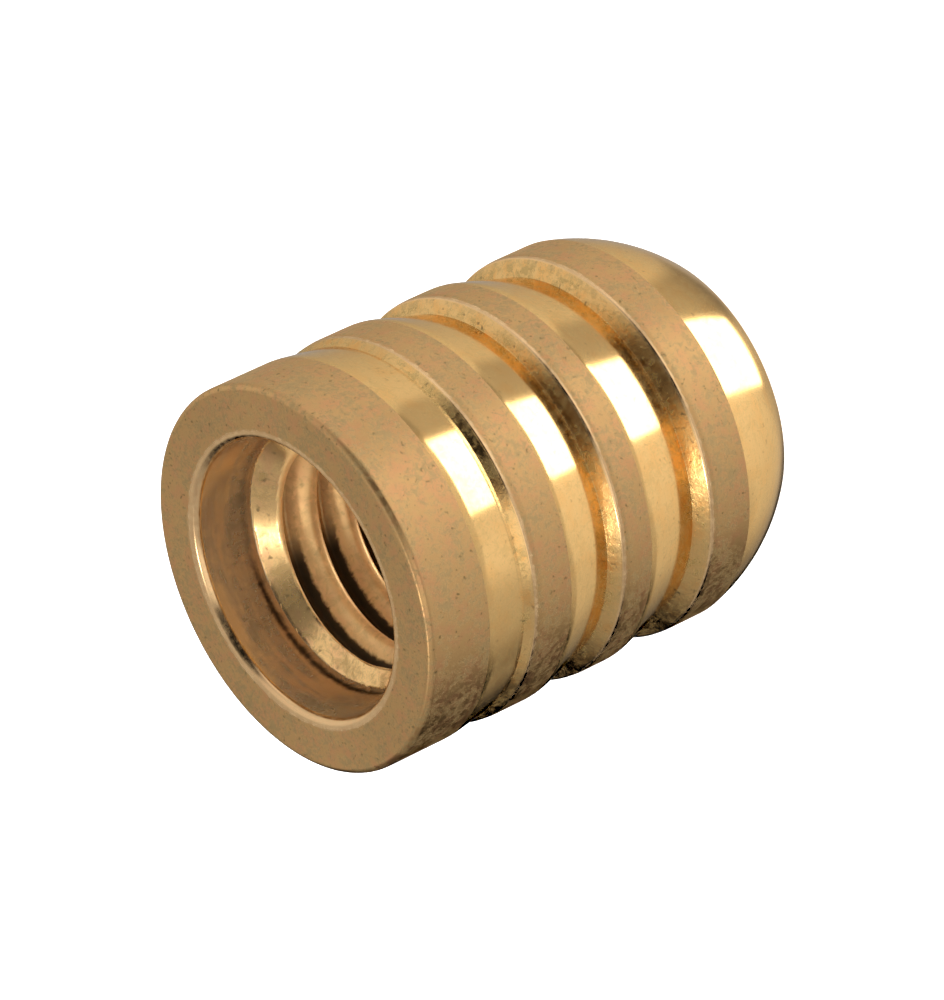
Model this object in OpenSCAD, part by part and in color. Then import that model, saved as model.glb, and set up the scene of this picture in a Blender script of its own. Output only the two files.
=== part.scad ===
// Press-in threaded insert, turned from brass bar in one piece.
//
// It stands on its nose, the end that enters the hole first. The mouth that
// takes the screw is at the top. The origin is the centre of the nose's end
// face, and +Z runs along the bore, out of the mouth. All sizes are in mm.

/* [Body] */
// Diameter over the collar and the barbs
body_d = 9; // [8.5:0.1:12]
// Length from the nose's end face to the mouth
body_l = 11.3; // [10.6:0.1:16]
// Bevel that breaks the mouth's outer edge
rim_break = 0.1; // [0.05:0.05:0.3]

/* [Thread] */
// Nominal diameter of the screw
screw_d = 6; // [5:0.25:6.5]
// Pitch of the screw
screw_pitch = 1; // [0.5:0.05:1.25]
// Depth of the plain lead-in that guides the screw
lead_in_l = 1.45; // [0.8:0.05:2]
// Gap between the screw's edge and the lead-in, at the mouth
mouth_gap = 0.25; // [0.1:0.05:0.4]
// Gap between the screw's edge and the lead-in, at its floor
floor_gap = 0.05; // [0:0.05:0.2]
// Full angle of the cone that the drill's point leaves at the floor
point_angle = 118; // [90:2:140]
// Rounding of the mouth's inner edge
mouth_round = 0.2; // [0.05:0.05:0.3]
// Gap between the screw's edge and the countersink in the nose
exit_gap = 0.1; // [0:0.05:0.15]
// Full angle of the countersink in the nose
exit_angle = 90; // [60:5:120]

/* [Barbs] */
// Length of the plain collar behind the mouth
collar_l = 1.8; // [0.8:0.05:2.4]
// Width of the groove behind the collar
front_groove_w = 1.25; // [0.8:0.05:2]
// Length of the first barb's land
front_land_l = 1.1; // [0.4:0.05:1.7]
// Width of the groove between the first and second barbs
middle_groove_w = 1.45; // [0.8:0.05:2.1]
// Length of the second barb's land
rear_land_l = 0.9; // [0.4:0.05:1.5]
// Width of the groove between the second and third barbs
rear_groove_w = 1.7; // [0.8:0.05:2.4]
// Slope of the front groove's long side to the bore
front_slope = 8.5; // [5:0.5:14]
// Lean of the first barb's shoulder away from square
front_lean = 58; // [30:2:66]
// Slope of the other grooves' long sides to the bore
barb_slope = 15.5; // [8:0.5:25]
// Lean of the other barbs' shoulders away from square
shoulder_lean = 28; // [0:2:44]
// Bevel that breaks the front edge of each barb
barb_break = 0.04; // [0.02:0.02:0.08]

/* [Nose] */
// Length of the rounded nose
nose_l = 2; // [1.2:0.05:2.8]
// How much the radius shrinks along the nose
nose_drop = 1; // [0.4:0.05:1.05]
// Radius of the nose's rounding
nose_round_r = 4.5; // [3:0.25:12]

/* [Hidden] */
$fn = 144;

body_r = body_d / 2;

// How far a cut runs past the surface that it opens.
past = 0.5;

// The bore is at the tapping size, which is the crest of the finished thread.
bore_r = (screw_d - screw_pitch) / 2;
mouth_r = screw_d / 2 + mouth_gap;
floor_r = screw_d / 2 + floor_gap;
exit_r = screw_d / 2 + exit_gap;
point_l = (floor_r - bore_r) / tan(point_angle / 2);
exit_depth = (exit_r - bore_r) / tan(exit_angle / 2);

// The rounding of the mouth's inner edge touches the face. It cuts slightly
// into the lead-in's line, as a rounding that just touched it would leave a sliver.
lead_in_lean = atan((mouth_r - floor_r) / lead_in_l);
rounding_reach = 0.95 * mouth_round;
rounding_centre = [
    mouth_r + (rounding_reach - mouth_round * sin(lead_in_lean)) / cos(lead_in_lean),
    body_l - mouth_round
];

// Heights of the grooves' front edges, from the mouth down.
front_groove_z = body_l - collar_l;
middle_groove_z = front_groove_z - front_groove_w - front_land_l;
rear_groove_z = middle_groove_z - middle_groove_w - rear_land_l;

// The nose's side is an arc from the last land to the end face.
nose_tip_r = body_r - nose_drop;
nose_chord = norm([nose_drop, nose_l]);
nose_reach = sqrt(pow(nose_round_r, 2) - pow(nose_chord / 2, 2));
nose_centre = [
    (body_r + nose_tip_r) / 2 - nose_reach * nose_l / nose_chord,
    nose_l / 2 + nose_reach * nose_drop / nose_chord
];

// Half section of the solid blank, with its rounded nose and broken rim. The
// arc bounds it below the arc's own centre, and crosses the side at nose_l.
module blank_section() {
    difference() {
        intersection() {
            square([body_r, body_l]);
            union() {
                translate([0, nose_centre.y]) square([body_r, body_l]);
                translate(nose_centre) circle(nose_round_r);
            }
        }
        translate([body_r, body_l]) rotate(45) square(rim_break * sqrt(2), center = true);
    }
}

// Section of one groove. It opens at front_z and gets deeper down the long
// side as far as the foot of the next barb's shoulder, whose edge is broken.
module groove_section(front_z, width, slope, lean) {
    depth = width / (1 / tan(slope) + tan(lean));
    shoulder_l = depth * tan(lean);
    barb_z = front_z - width;
    polygon([
        [body_r, front_z],
        [body_r - depth, barb_z + shoulder_l],
        [body_r - barb_break, barb_z + barb_break * tan(lean)],
        [body_r, barb_z - barb_break],
        [body_r + past, barb_z - barb_break],
        [body_r + past, front_z]
    ]);
}

// Section of the bore, with a countersink in the nose and a lead-in at the mouth.
module bore_section() {
    polygon([
        [-past, -past],
        [exit_r, -past],
        [exit_r, 0],
        [bore_r, exit_depth],
        [bore_r, body_l - lead_in_l - point_l],
        [floor_r, body_l - lead_in_l],
        [mouth_r, body_l],
        [mouth_r, body_l + past],
        [-past, body_l + past]
    ]);
}

// Section of what the rounding of the mouth's inner edge takes off.
module mouth_rounding_section() {
    difference() {
        translate(rounding_centre - [mouth_round + past, 0]) square(mouth_round + past);
        translate(rounding_centre) circle(mouth_round, $fn = 32);
    }
}

module insert() {
    color([0.76, 0.58, 0.33])
    rotate_extrude()
    difference() {
        blank_section();
        groove_section(front_groove_z, front_groove_w, front_slope, front_lean);
        groove_section(middle_groove_z, middle_groove_w, barb_slope, shoulder_lean);
        groove_section(rear_groove_z, rear_groove_w, barb_slope, shoulder_lean);
        bore_section();
        mouth_rounding_section();
    }
}

insert();
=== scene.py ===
import math

import bpy
from mathutils import Matrix, Vector


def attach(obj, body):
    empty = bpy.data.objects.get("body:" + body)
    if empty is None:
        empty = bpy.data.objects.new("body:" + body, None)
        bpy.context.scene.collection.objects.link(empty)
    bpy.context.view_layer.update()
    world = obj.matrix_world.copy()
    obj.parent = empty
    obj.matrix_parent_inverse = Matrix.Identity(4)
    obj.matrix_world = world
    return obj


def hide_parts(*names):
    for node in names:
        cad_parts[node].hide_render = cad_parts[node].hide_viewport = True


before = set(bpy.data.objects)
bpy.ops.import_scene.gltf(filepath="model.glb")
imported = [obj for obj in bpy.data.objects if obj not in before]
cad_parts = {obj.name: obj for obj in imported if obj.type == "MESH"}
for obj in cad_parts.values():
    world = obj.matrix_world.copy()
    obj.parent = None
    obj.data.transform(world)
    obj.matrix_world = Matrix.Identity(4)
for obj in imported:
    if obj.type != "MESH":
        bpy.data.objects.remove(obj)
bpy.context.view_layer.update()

# ---------------------------------------------------------------------------
# The insert: one piece of brass bar, turned on a lathe. A plain collar and three
# barbs, each behind a long slope, end in a rounded nose. The bore is drilled
# through, opened to a plain lead-in at the mouth and tapped for an M6 screw.
# ---------------------------------------------------------------------------

MM = 0.001

LENGTH = 11.3 * MM
BODY_R = 4.5 * MM
RIM_ROUND = 0.17 * MM
COLLAR_L = 1.8 * MM
# Width, long side's slope, shoulder's lean and the land after it, groove by groove.
GROOVES = (
    (1.25 * MM, 8.5, 58, 1.1 * MM),
    (1.45 * MM, 15.5, 28, 0.9 * MM),
    (1.7 * MM, 15.5, 28, 0.0),
)
NOSE_L = 2.0 * MM
NOSE_DROP = 1.0 * MM
NOSE_ROUND_R = 4.5 * MM
NOSE_STEPS = 16

MOUTH_R = 3.25 * MM
MOUTH_ROUND = 0.2 * MM
LEAD_IN = 1.45 * MM
LEAD_IN_R = 3.05 * MM
POINT_LEAN = 59
EXIT_R = 3.1 * MM
CREST_R = 2.5 * MM
ROOT_R = 3.0 * MM
PITCH = 1.0 * MM

# How far inside the mouth and the nose the bore's own mesh takes over.
MOUTH_LIP = 0.4 * MM
EXIT_LIP = 0.06 * MM

# Edges: roundings, the worn crown behind each barb's edge, the soft start of a
# groove and the strip that the tool tore at its foot.
EDGE_ROUND = 0.025 * MM
BARB_ROUND = 0.06 * MM
BARB_WORN = 0.02 * MM
BARB_WORN_L = 0.16 * MM
SLOPE_EASE = 0.1 * MM
FOOT_ROUND = 0.006 * MM
TORN_L = 0.14 * MM

# Points beside a rounding: close ones keep its shading tight, and further ones
# are where its wear and painted edge highlight end. It takes at most a share of the sides that meet.
SUPPORT = 0.02 * MM
WEAR_AND_SHEEN_REACH = 0.14 * MM
MOST_OF_SIDE = 0.4
FINE_ROUND = 0.1 * MM

# The finish of a stretch: as drawn bar, cut, torn a little by the tool, drilled,
# cut by the drill's point, tapped.
BAR, CUT, TORN, DRILLED, POINTED, TAPPED = range(6)


def nose_arc(steps):
    """Points on the nose's side, from the last land to the end face."""
    tip_r = BODY_R - NOSE_DROP
    chord = math.hypot(NOSE_DROP, NOSE_L)
    reach = math.sqrt(NOSE_ROUND_R**2 - (chord / 2) ** 2)
    centre = Vector((
        (BODY_R + tip_r) / 2 - reach * NOSE_L / chord,
        NOSE_L / 2 + reach * NOSE_DROP / chord,
    ))
    start = Vector((BODY_R, NOSE_L)) - centre
    end = Vector((tip_r, 0)) - centre
    a0, a1 = math.atan2(start.y, start.x), math.atan2(end.y, end.x)
    return [
        centre + NOSE_ROUND_R * Vector((math.cos(a), math.sin(a)))
        for a in (a0 + (a1 - a0) * i / steps for i in range(steps + 1))
    ]


# Corners of the half section from the mouth over the outside to the nose, as
# (radius, height, rounding, finish of the stretch after the corner).
lip_r = MOUTH_R - MOUTH_LIP * (MOUTH_R - LEAD_IN_R) / LEAD_IN
corners = [
    (lip_r, LENGTH - MOUTH_LIP, 0, DRILLED),
    (MOUTH_R, LENGTH, MOUTH_ROUND, BAR),
    (BODY_R, LENGTH, RIM_ROUND, BAR),
]
edge_z = LENGTH - COLLAR_L
for width, slope, lean, land in GROOVES:
    ease = SLOPE_EASE / math.tan(math.radians(slope / 2))
    slope, lean = math.tan(math.radians(slope)), math.tan(math.radians(lean))
    depth = width / (1 / slope + lean)
    barb_z = edge_z - width
    foot_r, foot_z = BODY_R - depth, barb_z + depth * lean
    corners += [
        (BODY_R, edge_z, ease, CUT),
        (foot_r + TORN_L * slope, foot_z + TORN_L, 0, CUT),
        (foot_r + TORN_L / 2 * slope, foot_z + TORN_L / 2, 0, TORN),
        (foot_r, foot_z, FOOT_ROUND, TORN),
        (BODY_R - BARB_WORN, barb_z + BARB_WORN * lean, BARB_ROUND, BAR),
        (BODY_R, barb_z - BARB_WORN_L, 3 * BARB_WORN_L, BAR),
    ]
    edge_z = barb_z - land
arc = nose_arc(NOSE_STEPS)
corners += [(p.x, p.y, EDGE_ROUND if i in (0, NOSE_STEPS) else 0, CUT) for i, p in enumerate(arc)]
corners += [(EXIT_R, 0, EDGE_ROUND, CUT), (EXIT_R - EXIT_LIP, EXIT_LIP, 0, CUT)]


def rounded_section(corners):
    """Section points as (point, finish, wear and sheen), with each corner turned into a
    small arc, held by points close to its ends, and worn, with a painted edge
    highlight, if it stands out."""
    points = []
    for i, (r, z, rounding, finish) in enumerate(corners):
        here = Vector((r, z))
        if not rounding:
            points.append((here, finish, 0))
            continue
        back = Vector(corners[i - 1][:2]) - here
        ahead = Vector(corners[i + 1][:2]) - here
        turn = math.pi - back.angle(ahead)
        stands_out = 1.0 if rounding in (BARB_ROUND, MOUTH_ROUND) else 0.0
        steps = 4 if rounding < FINE_ROUND else 10
        run = min(rounding * math.tan(turn / 2), MOST_OF_SIDE * min(back.length, ahead.length))
        radius = run / math.tan(turn / 2)
        centre = here + (back.normalized() + ahead.normalized()).normalized() * (
            radius / math.cos(turn / 2)
        )
        first, last = (here + leg.normalized() * run for leg in (back, ahead))
        reaches = ((SUPPORT, 0.8), (WEAR_AND_SHEEN_REACH, 0.0))
        for reach, wear_and_sheen in reversed(reaches):
            if back.length > 3 * reach + run:
                beside = first + back.normalized() * reach
                points.append((beside, corners[i - 1][3], wear_and_sheen * stands_out))
        for k in range(steps + 1):
            chord = first.lerp(last, k / steps) - centre
            points.append((centre + chord.normalized() * radius, finish, stands_out))
        for reach, wear_and_sheen in reaches:
            if ahead.length > 3 * reach + run:
                points.append((last + ahead.normalized() * reach, finish, wear_and_sheen * stands_out))
    return points


section = rounded_section(corners)
line = bpy.data.meshes.new("section")
line.from_pydata(
    [(p.x, 0, p.y) for p, _, _ in section],
    [(i, i + 1) for i in range(len(section) - 1)],
    [],
)
for name, column in (("finish", 1), ("wear_and_sheen", 2)):
    mask = line.attributes.new(name, "FLOAT", "POINT")
    mask.data.foreach_set("value", [point[column] for point in section])
insert = bpy.data.objects.new("insert_brass", line)
bpy.context.scene.collection.objects.link(insert)

# The thread's form, in pitches: half of the crest's flat and the run of a flank.
HALF_CREST = 1 / 8
FLANK_RUN = 5 / 16
FLANK_EASE = 0.4
# Painted shade stands in the lead-in's corner: how dark it is there, and how far up the
# wall its middle lies, in reaches.
SHADE_IN_CORNER = 0.7
SHADE_UP_WALL = 0.3

# The tree turns the section round the axis and winds the tapped bore inside it.
tree = bpy.data.node_groups.new("turn_and_tap", "GeometryNodeTree")
tree.interface.new_socket("Geometry", in_out="OUTPUT", socket_type="NodeSocketGeometry")
tree.interface.new_socket("Section", in_out="INPUT", socket_type="NodeSocketGeometry")
inputs = {
    "Steps Round": ("NodeSocketInt", 176),
    "Length": ("NodeSocketFloat", LENGTH),
    "Pitch": ("NodeSocketFloat", PITCH),
    "Steps a Pitch": ("NodeSocketInt", 32),
    "Lead": ("NodeSocketFloat", 0.375),
    "Crest Radius": ("NodeSocketFloat", CREST_R),
    "Root Radius": ("NodeSocketFloat", ROOT_R),
    "Mouth Radius": ("NodeSocketFloat", MOUTH_R),
    "Lead In": ("NodeSocketFloat", LEAD_IN),
    "Lead In Radius": ("NodeSocketFloat", LEAD_IN_R),
    "Exit Radius": ("NodeSocketFloat", EXIT_R),
    "Mouth Lip": ("NodeSocketFloat", MOUTH_LIP),
    "Exit Lip": ("NodeSocketFloat", EXIT_LIP),
    "Corner Reach": ("NodeSocketFloat", 0.7 * MM),
    "Run Out": ("NodeSocketFloat", 0.04 * MM),
    "Weld": ("NodeSocketFloat", 0.001 * MM),
    "Bar Finish": ("NodeSocketMaterial", None),
    "Cut Finish": ("NodeSocketMaterial", None),
    "Bore Finish": ("NodeSocketMaterial", None),
    "Thread Finish": ("NodeSocketMaterial", None),
}
for name, (kind, value) in inputs.items():
    tree.interface.new_socket(name, in_out="INPUT", socket_type=kind)
given = tree.nodes.new("NodeGroupInput").outputs
result = tree.nodes.new("NodeGroupOutput").inputs["Geometry"]


def put(tree, kind, wires, **settings):
    """Adds a node, sets it, wires or fills its inputs and returns its outputs."""
    node = tree.nodes.new(kind)
    for key, value in settings.items():
        setattr(node, key, value)
    for key, value in wires.items():
        if isinstance(value, bpy.types.NodeSocket):
            tree.links.new(value, node.inputs[key])
        else:
            node.inputs[key].default_value = value
    return node.outputs


def calc(tree, operation, *values, clamp=False):
    return put(tree, "ShaderNodeMath", dict(enumerate(values)), operation=operation, use_clamp=clamp)[0]


def round_grid(rows):
    """A grid of rows along the section by steps round the axis."""
    columns = calc(tree, "ADD", given["Steps Round"], 1)
    mesh = put(tree, "GeometryNodeMeshGrid", {"Vertices X": rows, "Vertices Y": columns})["Mesh"]
    index = put(tree, "GeometryNodeInputIndex", {})[0]
    row = calc(tree, "FLOOR", calc(tree, "DIVIDE", calc(tree, "ADD", index, 0.5), columns))
    column = calc(tree, "SUBTRACT", index, calc(tree, "MULTIPLY", row, columns))
    return mesh, row, calc(tree, "DIVIDE", column, given["Steps Round"])


def wrap(mesh, radius, height, turn):
    """Sends a grid's points to their radius, height and turn round the axis."""
    angle = calc(tree, "MULTIPLY", turn, 2 * math.pi)
    place = put(tree, "ShaderNodeCombineXYZ", {
        "X": calc(tree, "MULTIPLY", radius, calc(tree, "COSINE", angle)),
        "Y": calc(tree, "MULTIPLY", radius, calc(tree, "SINE", angle)),
        "Z": height,
    })[0]
    return put(tree, "GeometryNodeSetPosition", {"Geometry": mesh, "Position": place})["Geometry"]


def named(name):
    return put(tree, "GeometryNodeInputNamedAttribute", {"Name": name}, data_type="FLOAT")["Attribute"]


def keep(mesh, name, value):
    return put(tree, "GeometryNodeStoreNamedAttribute", {
        "Geometry": mesh, "Name": name, "Value": value}, data_type="FLOAT", domain="POINT")["Geometry"]


# Outside: every point of the section, swept round the axis.
section_size = put(tree, "GeometryNodeAttributeDomainSize", {"Geometry": given["Section"]})
outside, row, turn = round_grid(section_size["Point Count"])
section_point = put(tree, "GeometryNodeSampleIndex", {
    "Geometry": given["Section"],
    "Value": put(tree, "GeometryNodeInputPosition", {})[0],
    "Index": row,
}, data_type="FLOAT_VECTOR")[0]
for name in ("finish", "wear_and_sheen"):
    outside = keep(outside, name, put(tree, "GeometryNodeSampleIndex", {
        "Geometry": given["Section"], "Value": named(name), "Index": row}, data_type="FLOAT")[0])
split = put(tree, "ShaderNodeSeparateXYZ", {"Vector": section_point})
outside = wrap(outside, split["X"], split["Z"], turn)

# Bore: rows that follow the screw's helix, so that crests and roots have clean
# edges, cut back by the lead-in at the mouth and the countersink in the nose.
turns = calc(tree, "ADD", calc(tree, "CEIL", calc(tree, "DIVIDE", given["Length"], given["Pitch"])), 2)
rows = calc(tree, "ADD", calc(tree, "MULTIPLY", turns, given["Steps a Pitch"]), 1)
bore, row, turn = round_grid(rows)
along = calc(tree, "DIVIDE", row, given["Steps a Pitch"])
height = calc(tree, "MULTIPLY", given["Pitch"], calc(
    tree, "ADD", calc(tree, "SUBTRACT", along, given["Lead"]), calc(tree, "SUBTRACT", turn, 1)))
# Rows past the nose's lip or the mouth's are drawn back onto it, where they weld.
spare = calc(tree, "DIVIDE", calc(tree, "DIVIDE", given["Pitch"], given["Steps a Pitch"]), 3)
gap = calc(tree, "SUBTRACT", given["Exit Lip"], height)
height = calc(tree, "ADD", height, calc(
    tree, "MULTIPLY", gap, calc(tree, "GREATER_THAN", calc(tree, "ADD", gap, spare), 0)))
gap = calc(tree, "SUBTRACT", calc(tree, "SUBTRACT", given["Length"], given["Mouth Lip"]), height)
height = calc(tree, "ADD", height, calc(tree, "MULTIPLY", gap, calc(tree, "LESS_THAN", gap, spare)))
# The row nearest to the lead-in's corner moves onto it.
gap = calc(tree, "SUBTRACT", calc(tree, "SUBTRACT", given["Length"], given["Lead In"]), height)
height = calc(tree, "ADD", height, calc(tree, "MULTIPLY", gap, calc(
    tree, "LESS_THAN", calc(tree, "ABSOLUTE", gap), calc(tree, "MULTIPLY", spare, 1.5))))
off_crest = calc(tree, "ABSOLUTE", calc(tree, "SUBTRACT", calc(tree, "FRACT", along), 0.5))
flank = calc(tree, "DIVIDE", calc(tree, "SUBTRACT", off_crest, HALF_CREST), FLANK_RUN)
flank = calc(tree, "MINIMUM", calc(tree, "SMOOTH_MAX", flank, 0.0, FLANK_EASE), 1.0)
thread_r = calc(tree, "ADD", given["Crest Radius"], calc(
    tree, "MULTIPLY", flank, calc(tree, "SUBTRACT", given["Root Radius"], given["Crest Radius"])))
down = calc(tree, "SUBTRACT", given["Length"], height)
taper = calc(tree, "DIVIDE",
             calc(tree, "SUBTRACT", given["Mouth Radius"], given["Lead In Radius"]), given["Lead In"])
wall_r = calc(tree, "SUBTRACT", given["Mouth Radius"], calc(tree, "MULTIPLY", down, taper))
floor_r = calc(tree, "SUBTRACT", given["Lead In Radius"], calc(
    tree, "MULTIPLY", calc(tree, "SUBTRACT", down, given["Lead In"]), math.tan(math.radians(POINT_LEAN))))
mouth_r = calc(tree, "MINIMUM", wall_r, floor_r)
exit_r = calc(tree, "SUBTRACT", given["Exit Radius"], height)
radius = calc(tree, "MAXIMUM", thread_r, calc(tree, "MAXIMUM", mouth_r, exit_r))
# 1 where the lead-in or the countersink has taken the thread away. The cone and
# the countersink are one step down from the tapped finish, and the wall is two.
plain = calc(tree, "DIVIDE", calc(tree, "SUBTRACT", calc(
    tree, "MAXIMUM", mouth_r, exit_r), thread_r), given["Run Out"], clamp=True)
steps_down = calc(tree, "ADD", calc(tree, "LESS_THAN", wall_r, floor_r), 1.0)
finish = calc(tree, "SUBTRACT", float(TAPPED), calc(tree, "MULTIPLY", plain, steps_down))
bore = keep(keep(bore, "finish", finish), "wear_and_sheen", 0.0)
# Roots and the lead-in's corner, where shade is painted dark.
corner = calc(tree, "ADD", calc(tree, "SUBTRACT", down, given["Lead In"]), calc(
    tree, "MULTIPLY", given["Corner Reach"], SHADE_UP_WALL))
corner = calc(tree, "SUBTRACT", SHADE_IN_CORNER, calc(
    tree, "DIVIDE", calc(tree, "ABSOLUTE", corner), given["Corner Reach"]))
root = calc(tree, "MULTIPLY", flank, calc(tree, "SUBTRACT", 1.0, plain))
bore = keep(bore, "root", calc(tree, "MAXIMUM", root, corner))
bore = wrap(bore, radius, height, turn)

joined = put(tree, "GeometryNodeJoinGeometry", {})["Geometry"]
for part in (outside, bore):
    tree.links.new(part, joined.node.inputs["Geometry"])
mesh = put(tree, "GeometryNodeMergeByDistance", {
    "Geometry": joined, "Distance": given["Weld"]})["Geometry"]
mesh = put(tree, "GeometryNodeSetShadeSmooth", {"Geometry": mesh})["Geometry"]
mesh = put(tree, "GeometryNodeRealizeInstances", {"Geometry": mesh})["Geometry"]
# Each material takes its first finish and those after it, up to the next one's.
for name, first in (("Bar Finish", BAR), ("Cut Finish", CUT), ("Bore Finish", DRILLED),
                    ("Thread Finish", POINTED)):
    mesh = put(tree, "GeometryNodeSetMaterial", {
        "Geometry": mesh, "Selection": calc(tree, "GREATER_THAN", named("finish"), first - 0.5),
        "Material": given[name]})["Geometry"]
tree.links.new(mesh, result)

# Four finishes of the same brass. Fine rings from the tool, a patchy tarnish,
# rubbed edges with a painted edge highlight and painted shade in the bore's roots
# are shared, and each finish places them with its own values.
SPECK = (0.22, 0.15, 0.06, 1)
# Brighter brass on rubbed edges: partly wear, partly a painted edge highlight.
RUBBED_SHEEN = (0.84, 0.55, 0.28, 1)
# The colour of the painted shade in the roots, and the side where it is darkest.
PAINTED_SHADE = (0.05, 0.03, 0.012, 1)
SHADED_SIDE = (-0.82, -0.57, 0)
EDGE_TINT = (0.93, 0.84, 0.68, 1)
# How much the rings change round the axis, how fast one finish gives way to the
# next, the tarnish that leaves roughness as given, how much a full tarnish films
# the metal, and how much a rubbed edge is smoothed.
RING_STRETCH = 1.5
FINISH_FADE = 1.5
USUAL_DULL = 0.3
FILM = 0.12
RUBBED_SMOOTH = 0.6


def group(name, takes, gives):
    """An empty shader group with the named sockets."""
    made = bpy.data.node_groups.new(name, "ShaderNodeTree")
    for way, sockets in (("INPUT", takes), ("OUTPUT", gives)):
        for label, kind in sockets.items():
            made.interface.new_socket(label, in_out=way, socket_type="NodeSocket" + kind)
    return made, made.nodes.new("NodeGroupInput").outputs, made.nodes.new("NodeGroupOutput").inputs


def rise(tree, value, low, high, to_low=0.0, to_high=1.0):
    """A smooth step from to_low at low to to_high at high."""
    return put(tree, "ShaderNodeMapRange", {
        "Value": value, "From Min": low, "From Max": high, "To Min": to_low, "To Max": to_high,
    }, interpolation_type="SMOOTHSTEP")[0]


def blend(tree, share, a, b):
    return put(tree, "ShaderNodeMix", {"Factor": share, 6: a, 7: b}, data_type="RGBA")[2]


# Rings round the axis, close together along the section and long round it.
rings, take, give = group(
    "turning_rings", {"Position": "Vector", "Rings a Millimetre": "Float", "Stretch": "Float"},
    {"Height": "Float", "Tone": "Float"})
split = put(rings, "ShaderNodeSeparateXYZ", {"Vector": take["Position"]})
round_r = calc(rings, "SQRT", calc(rings, "ADD", calc(rings, "MULTIPLY", split["X"], split["X"]),
                                   calc(rings, "MULTIPLY", split["Y"], split["Y"])))
close = calc(rings, "DIVIDE", take["Rings a Millimetre"], MM)
streak = put(rings, "ShaderNodeCombineXYZ", {
    "X": calc(rings, "MULTIPLY", calc(rings, "DIVIDE", split["X"], round_r), take["Stretch"]),
    "Y": calc(rings, "MULTIPLY", calc(rings, "DIVIDE", split["Y"], round_r), take["Stretch"]),
    "Z": calc(rings, "MULTIPLY", round_r, close),
})[0]
grain = put(rings, "ShaderNodeTexNoise", {
    "Vector": streak, "W": calc(rings, "MULTIPLY", split["Z"], close), "Scale": 1.0, "Detail": 2.0,
}, noise_dimensions="4D")[0]
rings.links.new(grain, give["Height"])
rings.links.new(rise(rings, grain, 0.35, 0.65), give["Tone"])

# Tarnish: broad patches, a finer mottle and a few dark specks.
tarnish, take, give = group(
    "tarnish",
    {"Position": "Vector", "Clean": "Color", "Tarnished": "Color", "Speck": "Color",
     "Flushed": "Color", "Patch Size": "Float", "Amount": "Float", "Specks": "Float",
     "Rings": "Float", "Ring Tint": "Float"},
    {"Color": "Color", "Dull": "Float", "Mottle": "Float"})
spot = put(tarnish, "ShaderNodeVectorMath", {0: take["Position"]}, operation="SCALE")
tarnish.links.new(calc(tarnish, "DIVIDE", 1.0, take["Patch Size"]), spot[0].node.inputs["Scale"])
spot = spot[0]
broad = put(tarnish, "ShaderNodeTexNoise", {"Vector": spot, "Scale": 1.0, "Detail": 3.0,
                                            "Roughness": 0.6})[0]
fine = put(tarnish, "ShaderNodeTexNoise", {"Vector": spot, "Scale": 4.5, "Detail": 4.0,
                                           "Roughness": 0.65, "Distortion": 0.6})[0]
dull = calc(tarnish, "MULTIPLY", rise(tarnish, calc(
    tarnish, "ADD", calc(tarnish, "MULTIPLY", broad, 0.4), calc(tarnish, "MULTIPLY", fine, 0.6)),
    0.43, 0.61), take["Amount"])
dull = calc(tarnish, "ADD", dull, calc(tarnish, "MULTIPLY", calc(
    tarnish, "SUBTRACT", take["Rings"], 0.5), take["Ring Tint"]), clamp=True)
flush = put(tarnish, "ShaderNodeTexNoise", {"Vector": spot, "Scale": 1.7, "Detail": 3.0, "W": 4.0},
            noise_dimensions="4D")[0]
flush = calc(tarnish, "MULTIPLY", rise(tarnish, flush, 0.42, 0.68), take["Amount"])
dots = put(tarnish, "ShaderNodeTexNoise", {"Vector": spot, "Scale": 5.0, "Detail": 1.5})[0]
dots = calc(tarnish, "MULTIPLY", rise(tarnish, dots, 0.64, 0.78), take["Specks"])
tint = blend(tarnish, dull, blend(tarnish, flush, take["Clean"], take["Flushed"]), take["Tarnished"])
tarnish.links.new(blend(tarnish, dots, tint, take["Speck"]), give["Color"])
tarnish.links.new(dull, give["Dull"])
tarnish.links.new(fine, give["Mottle"])

# Rubbed edges: brighter brass along each edge that stands out, partly wear and
# partly a painted edge highlight, broken by the mottle.
rubbed_and_sheen, take, give = group(
    "rubbed_edges_and_sheen", {"Wear": "Float", "Mottle": "Float", "Color": "Color", "Bright": "Color",
                     "Amount": "Float"}, {"Color": "Color", "Rubbed": "Float"})
share = calc(rubbed_and_sheen, "MULTIPLY", rise(rubbed_and_sheen, calc(
    rubbed_and_sheen, "ADD", take["Wear"], calc(rubbed_and_sheen, "MULTIPLY", calc(
        rubbed_and_sheen, "SUBTRACT", take["Mottle"], 0.5), 1.2)), 0.35, 0.85), take["Amount"])
rubbed_and_sheen.links.new(blend(rubbed_and_sheen, share, take["Color"], take["Bright"]), give["Color"])
rubbed_and_sheen.links.new(share, give["Rubbed"])

# Painted shade: dark in the thread's roots and the lead-in's corner, most on one side.
painted_shade, take, give = group(
    "painted_shade", {"Position": "Vector", "Root": "Float", "Mottle": "Float", "Color": "Color"},
    {"Color": "Color"})
shade_share = rise(painted_shade, calc(painted_shade, "ADD", take["Root"], calc(painted_shade, "MULTIPLY", calc(
    painted_shade, "SUBTRACT", take["Mottle"], 0.5), 0.3)), 0.5, 0.7)
way = put(painted_shade, "ShaderNodeVectorMath", {0: take["Position"], 1: (1, 1, 0)}, operation="MULTIPLY")[0]
way = put(painted_shade, "ShaderNodeVectorMath", {0: way}, operation="NORMALIZE")[0]
way = put(painted_shade, "ShaderNodeVectorMath", {0: way, 1: SHADED_SIDE}, operation="DOT_PRODUCT")["Value"]
shade_share = calc(painted_shade, "MULTIPLY", shade_share, rise(painted_shade, way, 0.55, 0.78, 0.25, 1.0))
painted_shade.links.new(blend(painted_shade, shade_share, take["Color"], PAINTED_SHADE), give["Color"])


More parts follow.
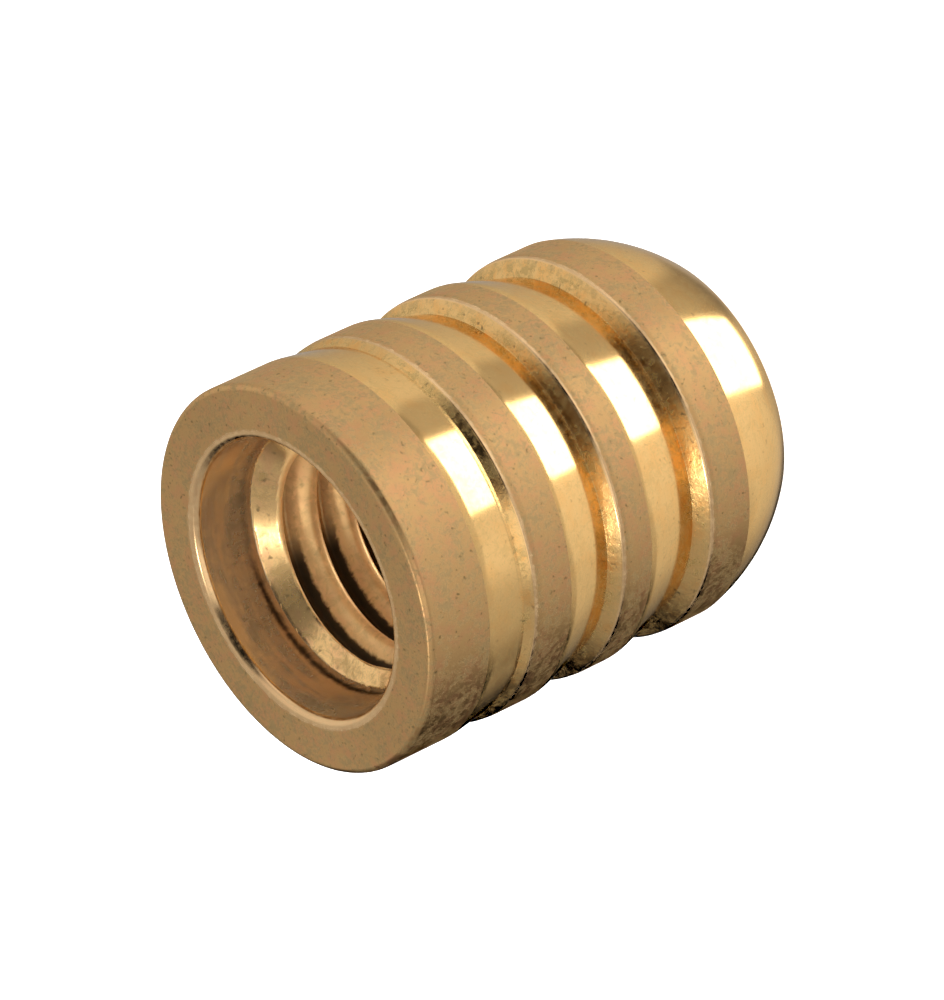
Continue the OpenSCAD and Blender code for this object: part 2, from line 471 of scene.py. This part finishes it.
def brass(name, clean, tarnished, flushed, patch_mm, amount, specks, roughness, dull_adds,
          matt, anisotropy, rings_mm, ring_tint, ring_depth_um, mottle_depth_um, wear_and_sheen_amount,
          apart=TORN, apart_roughness=0.0, apart_matt=0.0, apart_stain=0.0, apart_depth_um=0.0):
    """One finish of the brass, from the shared groups and its own values. The
    stretches of the finish named by apart differ from it by the last four."""
    made = bpy.data.materials.new(name)
    made.use_nodes = True
    tree = made.node_tree
    shader = tree.nodes["Principled BSDF"]
    place = put(tree, "ShaderNodeTexCoord", {})["Object"]
    turned = put(tree, "ShaderNodeGroup", {}, node_tree=rings)[0].node
    for label, value in (("Rings a Millimetre", rings_mm), ("Stretch", RING_STRETCH)):
        turned.inputs[label].default_value = value
    tree.links.new(place, turned.inputs["Position"])
    stained = put(tree, "ShaderNodeGroup", {}, node_tree=tarnish)[0].node
    for label, value in (("Clean", (*clean, 1)), ("Tarnished", (*tarnished, 1)),
                         ("Flushed", (*flushed, 1)), ("Speck", SPECK),
                         ("Patch Size", patch_mm * MM), ("Ring Tint", ring_tint)):
        stained.inputs[label].default_value = value
    finish = put(tree, "ShaderNodeAttribute", {}, attribute_name="finish")["Fac"]
    share = calc(tree, "SUBTRACT", 1.0, calc(tree, "MULTIPLY", calc(
        tree, "ABSOLUTE", calc(tree, "SUBTRACT", finish, float(apart))), FINISH_FADE), clamp=True)
    for label, value in (("Amount", amount), ("Specks", specks)):
        tree.links.new(calc(tree, "ADD", calc(
            tree, "MULTIPLY", share, apart_stain), value), stained.inputs[label])
    tree.links.new(place, stained.inputs["Position"])
    tree.links.new(turned.outputs["Tone"], stained.inputs["Rings"])
    # Rubbed edges: wear and a painted edge highlight.
    edge_wear_and_sheen = put(tree, "ShaderNodeGroup", {}, node_tree=rubbed_and_sheen)[0].node
    wear_and_sheen = put(tree, "ShaderNodeAttribute", {}, attribute_name="wear_and_sheen")["Fac"]
    tree.links.new(wear_and_sheen, edge_wear_and_sheen.inputs["Wear"])
    tree.links.new(stained.outputs["Mottle"], edge_wear_and_sheen.inputs["Mottle"])
    tree.links.new(stained.outputs["Color"], edge_wear_and_sheen.inputs["Color"])
    edge_wear_and_sheen.inputs["Bright"].default_value = RUBBED_SHEEN
    edge_wear_and_sheen.inputs["Amount"].default_value = wear_and_sheen_amount
    # Painted shade in the thread's roots and the lead-in's corner.
    root_shade = put(tree, "ShaderNodeGroup", {}, node_tree=painted_shade)[0].node
    root = put(tree, "ShaderNodeAttribute", {}, attribute_name="root")["Fac"]
    tree.links.new(root, root_shade.inputs["Root"])
    tree.links.new(place, root_shade.inputs["Position"])
    tree.links.new(stained.outputs["Mottle"], root_shade.inputs["Mottle"])
    tree.links.new(edge_wear_and_sheen.outputs["Color"], root_shade.inputs["Color"])
    tree.links.new(root_shade.outputs["Color"], shader.inputs["Base Color"])

    # Tarnish dulls, and rubbing smooths.
    rough = calc(tree, "ADD", roughness, calc(
        tree, "MULTIPLY", calc(tree, "SUBTRACT", stained.outputs["Dull"], USUAL_DULL), dull_adds))
    rough = calc(tree, "ADD", rough, calc(tree, "MULTIPLY", share, apart_roughness))
    rough = calc(tree, "MULTIPLY", rough, calc(
        tree, "SUBTRACT", 1.0, calc(tree, "MULTIPLY", edge_wear_and_sheen.outputs["Rubbed"], RUBBED_SMOOTH)), clamp=True)
    tree.links.new(rough, shader.inputs["Roughness"])

    # Relief, in thousandths of a millimetre.
    height = calc(tree, "ADD", calc(tree, "MULTIPLY", turned.outputs["Height"], ring_depth_um),
                  calc(tree, "MULTIPLY", stained.outputs["Mottle"], calc(
                      tree, "ADD", mottle_depth_um, calc(tree, "MULTIPLY", share, apart_depth_um))))
    bump = put(tree, "ShaderNodeBump", {"Strength": 1.0, "Distance": 0.001 * MM, "Height": height})
    tree.links.new(bump[0], shader.inputs["Normal"])

    # A matt film over the metal.
    film = calc(tree, "ADD", calc(tree, "MULTIPLY", stained.outputs["Dull"], FILM), calc(
        tree, "ADD", calc(tree, "MULTIPLY", share, apart_matt), matt))
    tree.links.new(calc(tree, "SUBTRACT", 1.0, film, clamp=True), shader.inputs["Metallic"])
    shader.inputs["Specular Tint"].default_value = EDGE_TINT
    shader.inputs["Anisotropic"].default_value = anisotropy
    around = put(tree, "ShaderNodeTangent", {}, direction_type="RADIAL", axis="Z")[0]
    tree.links.new(around, shader.inputs["Tangent"])
    return made


finishes = {
    "Bar Finish": brass(
        "bar_brass", clean=(0.66, 0.395, 0.16), tarnished=(0.38, 0.26, 0.115), flushed=(0.70, 0.36, 0.16),
        patch_mm=0.6, amount=0.85, specks=0.8, roughness=0.38, dull_adds=0.12,
        matt=0.0, anisotropy=0.6, rings_mm=9.0, ring_tint=0.12, ring_depth_um=1.2, mottle_depth_um=0.5,
        wear_and_sheen_amount=0.75),
    "Cut Finish": brass(
        "cut_brass", clean=(0.84, 0.52, 0.20), tarnished=(0.50, 0.33, 0.12), flushed=(0.85, 0.46, 0.15),
        patch_mm=0.7, amount=0.45, specks=0.3, roughness=0.13, dull_adds=0.05,
        matt=0.0, anisotropy=0.0, rings_mm=12.0, ring_tint=0.12, ring_depth_um=0.3, mottle_depth_um=0.3,
        wear_and_sheen_amount=0.15, apart=TORN, apart_roughness=0.12, apart_stain=0.5, apart_depth_um=5.0),
    "Bore Finish": brass(
        "bore_brass", clean=(0.64, 0.48, 0.28), tarnished=(0.30, 0.23, 0.13), flushed=(0.66, 0.45, 0.28),
        patch_mm=1.6, amount=0.4, specks=0.2, roughness=0.24, dull_adds=0.10,
        matt=0.08, anisotropy=0.0, rings_mm=3.0, ring_tint=1.0, ring_depth_um=6.0, mottle_depth_um=1.0,
        wear_and_sheen_amount=0.0),
    "Thread Finish": brass(
        "thread_brass", clean=(0.92, 0.59, 0.25), tarnished=(0.58, 0.37, 0.15), flushed=(0.88, 0.50, 0.23),
        patch_mm=1.0, amount=0.5, specks=0.3, roughness=0.45, dull_adds=0.10,
        matt=0.45, anisotropy=0.0, rings_mm=8.0, ring_tint=0.12, ring_depth_um=1.0, mottle_depth_um=1.0,
        wear_and_sheen_amount=0.0, apart=POINTED, apart_roughness=-0.24, apart_matt=-0.4, apart_stain=0.5),
}
for name, made in finishes.items():
    inputs[name] = ("NodeSocketMaterial", made)

modifier = insert.modifiers.new("turn_and_tap", "NODES")
modifier.node_group = tree
sockets = {s.name: s.identifier for s in tree.interface.items_tree if s.in_out == "INPUT"}
for name, (kind, value) in inputs.items():
    modifier[sockets[name]] = value
bpy.context.view_layer.update()
finished = bpy.data.meshes.new_from_object(
    insert.evaluated_get(bpy.context.evaluated_depsgraph_get())
)
insert.modifiers.clear()
insert.data = finished
finished.name = "insert_brass"
bpy.data.meshes.remove(line)

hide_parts("insert")
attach(insert, "root")

# ---------------------------------------------------------------------------
# The camera: a long lens at a short distance, looking into the mouth. It is
# rolled so that the insert seems to lie on its side, mouth to the lower left.
# ---------------------------------------------------------------------------

TILT = math.radians(55.52)
ROLL = math.radians(-115.25)
FAR = 0.180
SIDE = -3.88 * MM
RISE = 1.747 * MM
SENSOR = 36
# The lens's focal length, in heights of the sensor.
FOCAL = 8.366

toward = Vector((math.sin(TILT), 0, math.cos(TILT)))
level_right = (-toward).cross(Vector((0, 0, 1))).normalized()
level_up = level_right.cross(-toward)
right = math.cos(ROLL) * level_right + math.sin(ROLL) * level_up
up = -math.sin(ROLL) * level_right + math.cos(ROLL) * level_up


def standing(x, y, z, place):
    """A matrix with these axes at this place."""
    return Matrix.Translation(place) @ Matrix((x, y, z)).transposed().to_4x4()


lens = bpy.data.cameras.new("camera")
lens.sensor_fit = "VERTICAL"
lens.sensor_height = SENSOR
lens.lens = FOCAL * SENSOR
lens.clip_start = 0.01
camera = bpy.data.objects.new("camera", lens)
bpy.context.scene.collection.objects.link(camera)
camera.matrix_world = standing(
    right, up, toward, Vector((0, 0, LENGTH)) + FAR * toward - SIDE * right + RISE * up)
bpy.context.scene.camera = camera

# ---------------------------------------------------------------------------
# The floor: plain white paper, and a round wall of the same paper far away. The
# metal mirrors only the tent, and the paper keeps none of the tent's light off it.
# ---------------------------------------------------------------------------

FLOOR_R = 3.0
WALL_H = 4.0
AROUND = 64

paper = bpy.data.materials.new("paper")
paper.use_nodes = True
shader = paper.node_tree.nodes["Principled BSDF"]
shader.inputs["Base Color"].default_value = (0.8, 0.8, 0.8, 1)
shader.inputs["Roughness"].default_value = 0.9
shader.inputs["Emission Color"].default_value = (1, 1, 1, 1)
shader.inputs["Emission Strength"].default_value = 0.9

circle = [(math.cos(a), math.sin(a)) for a in (2 * math.pi * i / AROUND for i in range(AROUND))]
sheet = bpy.data.meshes.new("floor")
sheet.from_pydata(
    [(FLOOR_R * x, FLOOR_R * y, z) for z in (0, WALL_H) for x, y in circle], [],
    [list(range(AROUND))] + [(i, (i + 1) % AROUND, AROUND + (i + 1) % AROUND, AROUND + i)
                             for i in range(AROUND)])
sheet.materials.append(paper)
floor = bpy.data.objects.new("floor", sheet)
bpy.context.scene.collection.objects.link(floor)
floor.visible_glossy = False
floor.visible_shadow = False

# ---------------------------------------------------------------------------
# The light: a pale tent all round, with a dark opening above the camera, a long
# strip lamp on the nose's side and a small round lamp in front of the mouth.
# ---------------------------------------------------------------------------

# The tent's own axes, as the camera sees them: out points to the upper right,
# the nose's side, and side to the upper left.
LEAN = math.radians(36.4)
out = math.cos(LEAN) * right + math.sin(LEAN) * up
side = -math.sin(LEAN) * right + math.cos(LEAN) * up

CLOTH = 0.42
STRIP = 6.0

world = bpy.data.worlds.new("tent")
bpy.context.scene.world = world
world.use_nodes = True
tent = world.node_tree
direction = put(tent, "ShaderNodeTexCoord", {})["Generated"]


def facing(axis):
    return put(tent, "ShaderNodeVectorMath", {0: direction, 1: axis}, operation="DOT_PRODUCT")["Value"]


def line_at(value, start, slope):
    return calc(tent, "ADD", calc(tent, "MULTIPLY", value, slope), start)


def soft(*steps):
    """The product of soft steps, each given as (value, where it is 0, where it is 1)."""
    share = rise(tent, *steps[0])
    for step in steps[1:]:
        share = calc(tent, "MULTIPLY", share, rise(tent, *step))
    return share


def between(value, low, high, edge):
    """The two soft steps that are 1 from low to high and 0 an edge outside them."""
    return (value, low - edge, low), (value, high + edge, high)


def mixed(share, a, b):
    return put(tent, "ShaderNodeMix", {"Factor": share, "A": a, "B": b}, data_type="FLOAT")[0]


ahead, along, across, rising = (facing(axis) for axis in (toward, out, side, up))
# Flat frames: u and w face the insert from the camera's side, and x and y from the
# nose's side. The opening's sill and head slope across the first, and the strip's
# edge bends on the second.
u, w = (calc(tent, "DIVIDE", value, ahead) for value in (along, across))
x, y = (calc(tent, "DIVIDE", value, along) for value in (ahead, across))
over_sill = calc(tent, "SUBTRACT", w, line_at(u, -0.09, -0.206))
over_head = calc(tent, "SUBTRACT", w, line_at(u, 1.05, 0.06))
over_strip = calc(tent, "SUBTRACT", y, line_at(x, 0.295, line_at(x, 0.33, 0.12)))
in_front = (ahead, 0.1, 0.15)
beside_strip = *between(over_strip, 0.06, 0.34, 0.16), (along, 0.3, 0.5)

# The cloth's patches, as the level that each adds and the steps that bound it.
patches = (
    # On the nose's side, on the mouth's side, overhead and high above the camera.
    (0.25, (along, 0.0, 0.95)),
    (0.12, (along, 0.0, -0.9)),
    (0.2, (rising, -0.3, 0.8)),
    (0.3, (rising, 0.6, 0.85), (ahead, -0.1, 0.3)),
    # High on the mouth's side, and low behind on the nose's side.
    (0.22, (across, 0.45, 0.6), (along, 0.0, -0.4)),
    (0.3, *between(across, -0.62, -0.34, 0.16), (ahead, 0.12, -0.02), (along, -0.1, 0.2)),
    # Dimmer: low on the mouth's side, low behind, and behind.
    (-0.14, (along, -0.5, -0.8), (across, -0.1, -0.35)),
    (-0.42, (along, 0.45, 0.08), (across, 0.02, -0.22), (ahead, -0.05, -0.4)),
    (-0.1, (ahead, -0.2, -0.9)),
    # Dimmer: above the strip lamp, most at its near end.
    (-0.32, *beside_strip),
    (-0.28, *beside_strip, (x, -0.15, 0.1)),
)
pale = CLOTH
for adds, *steps in patches:
    pale = calc(tent, "ADD", pale, calc(tent, "MULTIPLY", soft(*steps), adds))

# The opening is darkest on the nose's side. Two pale panels stand under it and
# past its end, and the strip lamp narrows as it runs away behind the insert.
opening = soft((over_sill, -0.05, 0.03), (over_head, 0.04, -0.04), *between(u, -1.9, 0.8, 0.1), in_front)
opening = calc(tent, "MULTIPLY", opening, rise(tent, u, -1.3, -0.3, 0.78, 0.998))
under = soft(*between(over_sill, -0.95, -0.10, 0.06), *between(u, -2.5, 0.4, 0.15), in_front)
past = soft(*between(u, 1.15, 1.95, 0.12), *between(w, -0.15, 0.7, 0.15), in_front)
strip = soft((y, -0.322, -0.302), (over_strip, 0.01, -0.01), (x, 0.115, 0.095), (x, -1.2, -1.05),
             (along, 0.2, 0.25))
level = mixed(opening, pale, 0.0)
level = mixed(calc(tent, "MAXIMUM", under, past), level, rise(tent, u, -1.0, -0.2, 0.82, 1.2))
level = mixed(strip, level, STRIP)
tent.links.new(level, tent.nodes["Background"].inputs["Strength"])
tent.nodes["Background"].inputs["Color"].default_value = (1, 1, 1, 1)

LAMP_FAR = 0.3
LAMP_ACROSS = 0.14 * LAMP_FAR
LAMP_LEVEL = 14.0

front = Vector((0.07, -0.38, 0.92)).normalized()
beside = front.orthogonal().normalized()
panel = bpy.data.lights.new("front_panel", "AREA")
panel.shape = "DISK"
panel.size = LAMP_ACROSS
panel.energy = LAMP_LEVEL * math.pi * LAMP_ACROSS**2
lamp = bpy.data.objects.new("front_panel", panel)
bpy.context.scene.collection.objects.link(lamp)
lamp.matrix_world = standing(
    beside, front.cross(beside), front, Vector((0, 0, LENGTH / 2)) + LAMP_FAR * front)
lamp.visible_camera = False

bpy.context.scene.view_settings.view_transform = "Standard"
